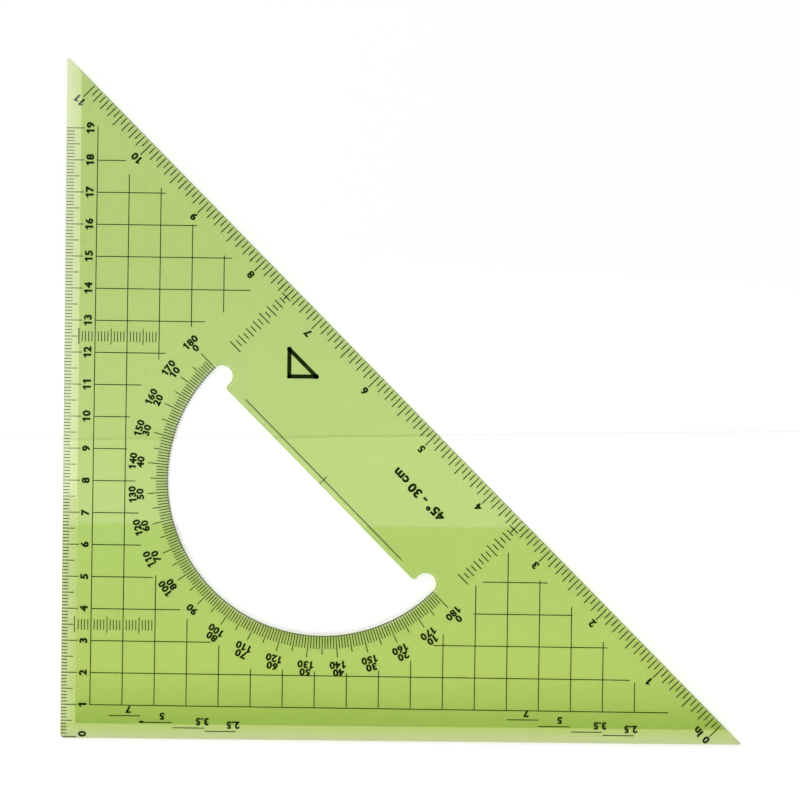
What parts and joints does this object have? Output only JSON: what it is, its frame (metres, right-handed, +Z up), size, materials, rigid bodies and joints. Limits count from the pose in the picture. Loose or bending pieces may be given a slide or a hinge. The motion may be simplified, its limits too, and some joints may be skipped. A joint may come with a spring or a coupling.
{
  "type": "set square",
  "caption": "Clear green 45 degree set square with bevelled legs, a half-round protractor window with finger notches, and ink scales printed on its underside.",
  "frame": {"origin": "on the surface it rests on, under the middle of its box, which is close to the middle of the long edge", "axes": "+Z up through the plate's thickness; one leg runs along X on the -Y side, the other along Y on the -X side, so the right angle is at -X -Y"},
  "size_m": [0.212, 0.212, 0.002],
  "materials": {
    "clear_green_plastic": "polished transparent green plastic",
    "black_ink": "thin opaque printing ink"
  },
  "bodies": {
    "root": {"plate": "clear_green_plastic", "centimetre_grid_print": "black_ink", "protractor_base_line_print": "black_ink", "lettering_guide_left_70": "black_ink", "lettering_guide_left_50": "black_ink", "lettering_guide_left_35": "black_ink", "lettering_guide_left_25": "black_ink", "lettering_guide_right_70": "black_ink", "lettering_guide_right_50": "black_ink", "lettering_guide_right_35": "black_ink", "lettering_guide_right_25": "black_ink"}
  },
  "joints": []
}
